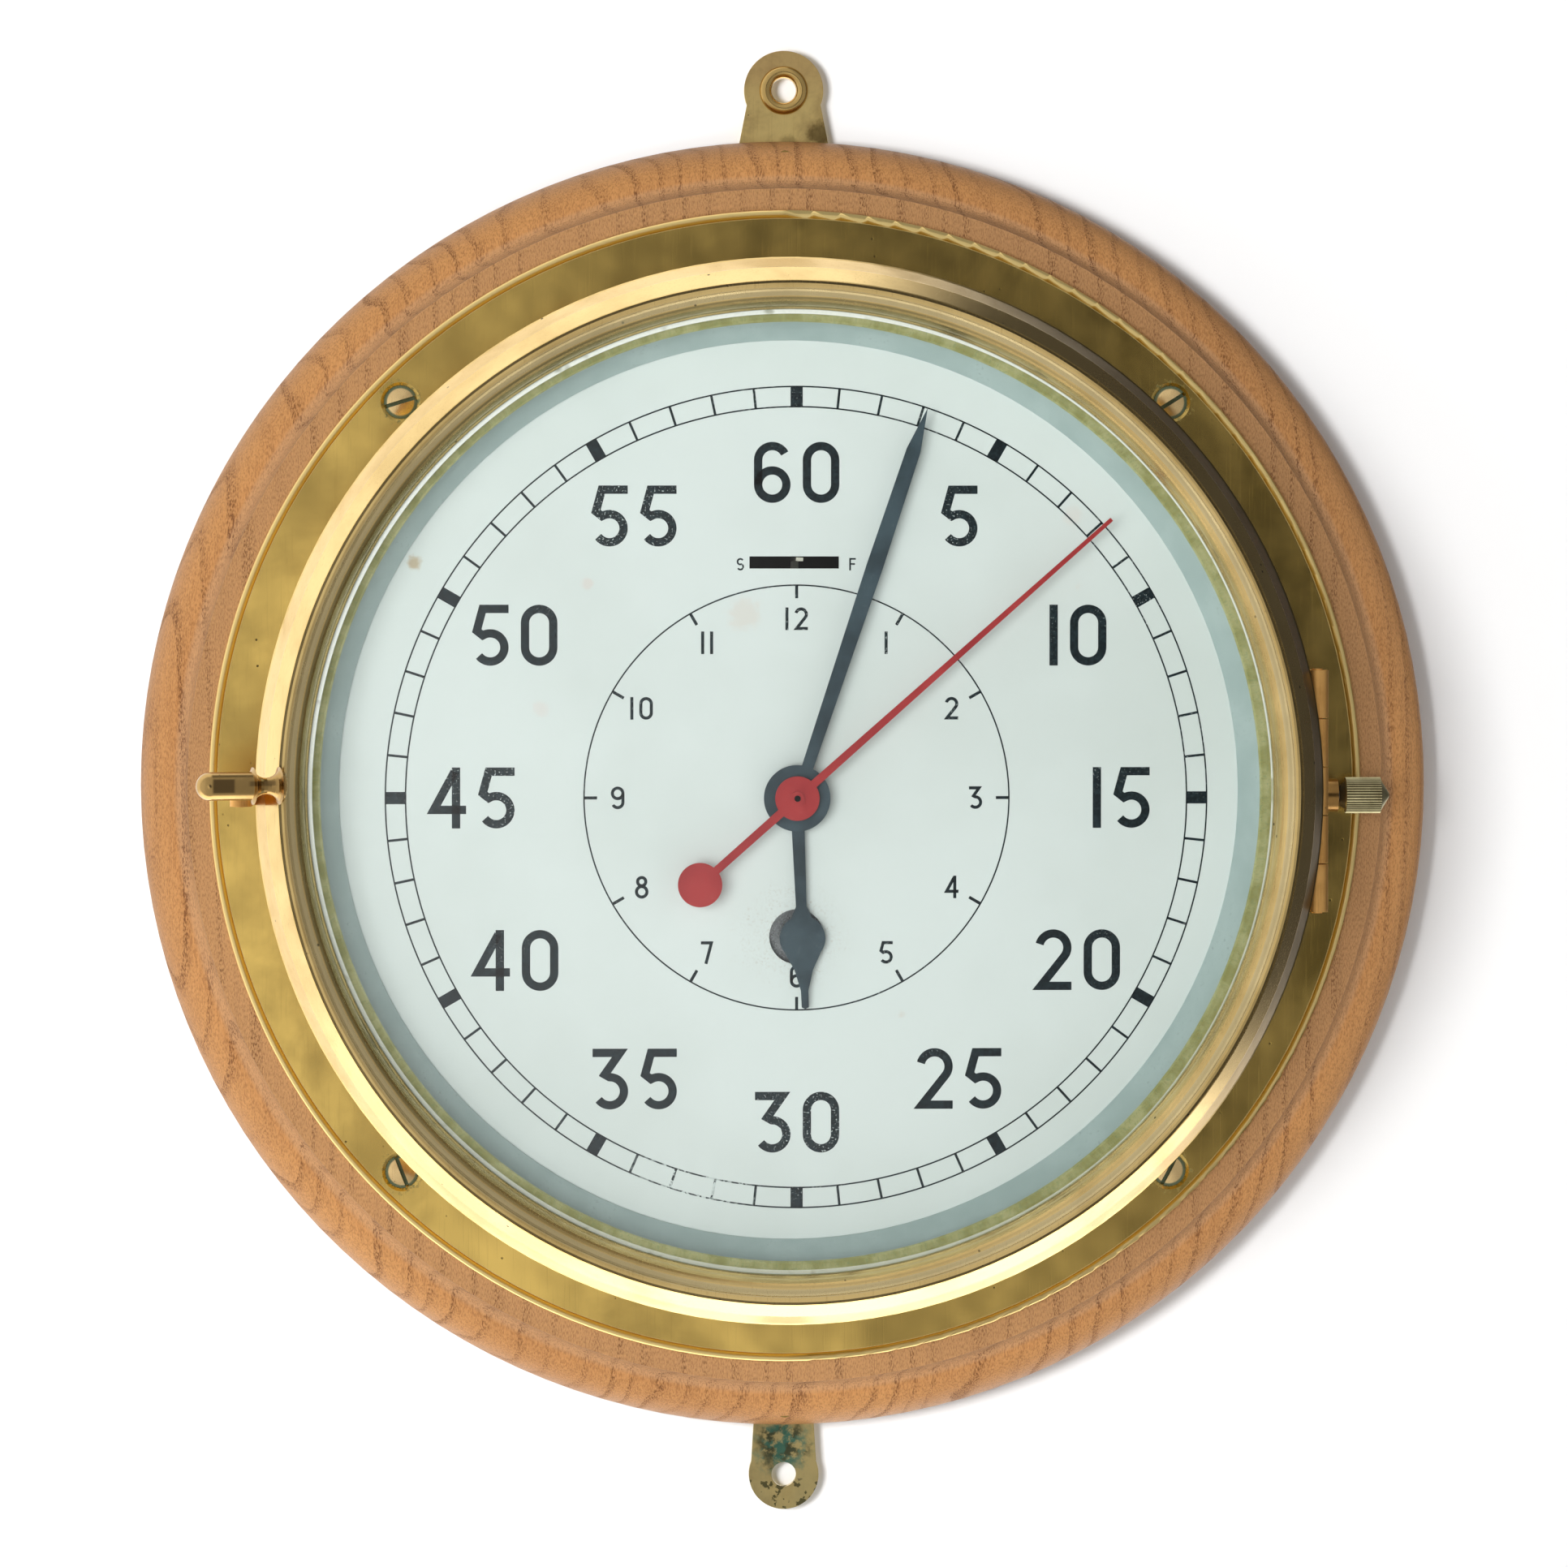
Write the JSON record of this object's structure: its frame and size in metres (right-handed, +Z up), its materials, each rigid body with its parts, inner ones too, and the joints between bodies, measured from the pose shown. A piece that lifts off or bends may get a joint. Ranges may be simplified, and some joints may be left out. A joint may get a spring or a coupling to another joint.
{
  "type": "bulkhead clock",
  "caption": "Round brass ship's clock on a turned wooden backboard, with a hinged glazed bezel, a swing latch, a side stop knob, three centre hands and a spring-driven movement.",
  "frame": {"origin": "centre of the wooden backboard's back face, on the axis of the case", "axes": "+Z up through the top hanger, +X to the right as seen from the front, +Y into the wall, so the dial faces -Y"},
  "size_m": [0.2974, 0.0821, 0.3384],
  "materials": {
    "wood": "worn waxed oak-brown hardwood, straight upright grain",
    "hanger_brass": "dull, tarnished",
    "screw_brass": "dull, worn slots",
    "case_brass": "brushed, unevenly tarnished",
    "bezel_brass": "polished, fine pits",
    "tarnished_brass": "green tarnish",
    "surround_paint": "satin blue-grey",
    "dial_enamel": "satin, pale blue-white",
    "glass": "clear, polished bevel",
    "black_rubber": "matt",
    "black_hands": "satin blue-black",
    "red_hand": "satin red",
    "movement_brass": "machined, satin",
    "steel": "fine ground",
    "blued_steel": "blued"
  },
  "bodies": {
    "case": {"wood_backboard": "wood", "top_hanger": "hanger_brass", "bottom_hanger": "hanger_brass", "hanger_eyelet": "hanger_brass", "hanger_screws": "screw_brass", "case_body": "case_brass", "flange_screws": "screw_brass", "rim_gasket": "black_rubber", "surround_ring": "surround_paint", "surround_screws": "steel", "hinge_case_leaf": "case_brass", "hinge_pin": "case_brass", "side_screws": "screw_brass", "latch_block": "case_brass", "latch_pin": "case_brass", "stop_bush": "case_brass", "dial_plate": "dial_enamel", "dial_feet": "movement_brass", "back_plate": "movement_brass", "front_plate": "movement_brass", "plate_pillars": "movement_brass", "pillar_screws": "blued_steel", "movement_posts": "movement_brass", "click_screw": "blued_steel", "click_spring": "blued_steel", "escapement_bridge": "movement_brass", "balance_cock": "movement_brass", "cock_screws": "blued_steel", "minute_wheel_post": "steel"},
    "bezel": {"bezel_ring": "bezel_brass", "glass": "glass", "glass_retaining_ring": "tarnished_brass", "hinge_bezel_leaf": "case_brass"},
    "latch": {"latch_lever": "bezel_brass"},
    "stop_knob": {"stop_knob": "bezel_brass", "stop_spindle": "steel"},
    "winding": {"winding_arbor": "steel", "ratchet_wheel": "steel"},
    "click": {"click": "steel"},
    "barrel": {"barrel": "movement_brass", "barrel_cover": "movement_brass", "mainspring": "blued_steel"},
    "intermediate": {"intermediate_wheel": "movement_brass"},
    "minute": {"centre_wheel": "movement_brass", "cannon_pinion": "steel", "minute_hand": "black_hands"},
    "third": {"third_wheel": "movement_brass"},
    "seconds": {"seconds_wheel": "movement_brass", "seconds_hand": "red_hand"},
    "escape": {"escape_wheel": "steel"},
    "pallets": {"pallet_lever": "steel"},
    "balance": {"balance_wheel": "movement_brass", "hairspring": "blued_steel"},
    "regulator": {"regulator_index": "movement_brass"},
    "minute_wheel": {"minute_wheel": "movement_brass"},
    "hour": {"hour_wheel": "movement_brass", "hour_hand": "black_hands"}
  },
  "joints": [
    {"name": "bezel_swing", "type": "hinge", "parent": "case", "child": "bezel", "pos_m": [0.1188, -0.0534, 0], "axis": [0, 0, 1], "range_deg": [0, 110]},
    {"name": "latch_swing", "type": "hinge", "parent": "case", "child": "latch", "pos_m": [-0.12265, -0.067, 0.002], "axis": [0, 0, -1], "range_deg": [0, 80]},
    {"name": "stop_slide", "type": "slide", "parent": "case", "child": "stop_knob", "axis": [1, 0, 0], "range_m": [0, 0.003]},
    {"name": "winding_turn", "type": "hinge", "parent": "case", "child": "winding", "pos_m": [0.0017, 0, -0.03305], "axis": [0, 1, 0], "continuous": true},
    {"name": "click_lift", "type": "hinge", "parent": "case", "child": "click", "pos_m": [-0.0085, 0, -0.02648], "axis": [0, -1, 0], "range_deg": [0, 9], "stiffness_Nm_per_rad": 0.001},
    {"name": "seconds_turn", "type": "hinge", "parent": "case", "child": "seconds", "pos_m": [0.0017, 0, -0.00165], "axis": [0, 1, 0], "continuous": true},
    {"name": "minute_turn", "type": "hinge", "parent": "case", "child": "minute", "pos_m": [0.0017, 0, -0.00165], "axis": [0, 1, 0], "continuous": true},
    {"name": "hour_turn", "type": "hinge", "parent": "case", "child": "hour", "pos_m": [0.0017, 0, -0.00165], "axis": [0, 1, 0], "continuous": true},
    {"name": "third_turn", "type": "hinge", "parent": "case", "child": "third", "pos_m": [-0.00999, 0, 0.0051], "axis": [0, 1, 0], "continuous": true},
    {"name": "intermediate_turn", "type": "hinge", "parent": "case", "child": "intermediate", "pos_m": [0.00937, 0, -0.01431], "axis": [0, 1, 0], "continuous": true},
    {"name": "barrel_turn", "type": "hinge", "parent": "case", "child": "barrel", "pos_m": [0.0017, 0, -0.03305], "axis": [0, 1, 0], "continuous": true},
    {"name": "escape_turn", "type": "hinge", "parent": "case", "child": "escape", "pos_m": [0.0083, 0, 0.00978], "axis": [0, 1, 0], "continuous": true},
    {"name": "minute_wheel_turn", "type": "hinge", "parent": "case", "child": "minute_wheel", "pos_m": [0.0137, 0, -0.00165], "axis": [0, 1, 0], "continuous": true},
    {"name": "pallet_rock", "type": "hinge", "parent": "case", "child": "pallets", "pos_m": [0.00488, 0, 0.01507], "axis": [0, 1, 0], "range_deg": [-5, 5]},
    {"name": "balance_swing", "type": "hinge", "parent": "case", "child": "balance", "pos_m": [0.00115, 0, 0.02085], "axis": [0, 1, 0], "range_deg": [-270, 270]},
    {"name": "regulator_swing", "type": "hinge", "parent": "case", "child": "regulator", "pos_m": [0.00115, 0, 0.02085], "axis": [0, 1, 0], "range_deg": [-16, 12]}
  ],
  "couplings": [
    {"joint": "minute_turn", "follows": "seconds_turn", "ratio": 0.016667},
    {"joint": "hour_turn", "follows": "seconds_turn", "ratio": 0.0013889},
    {"joint": "third_turn", "follows": "seconds_turn", "ratio": -0.13333},
    {"joint": "intermediate_turn", "follows": "seconds_turn", "ratio": -0.0026042},
    {"joint": "barrel_turn", "follows": "seconds_turn", "ratio": 0.00040064},
    {"joint": "escape_turn", "follows": "seconds_turn", "ratio": -10},
    {"joint": "minute_wheel_turn", "follows": "seconds_turn", "ratio": -0.0055556}
  ]
}
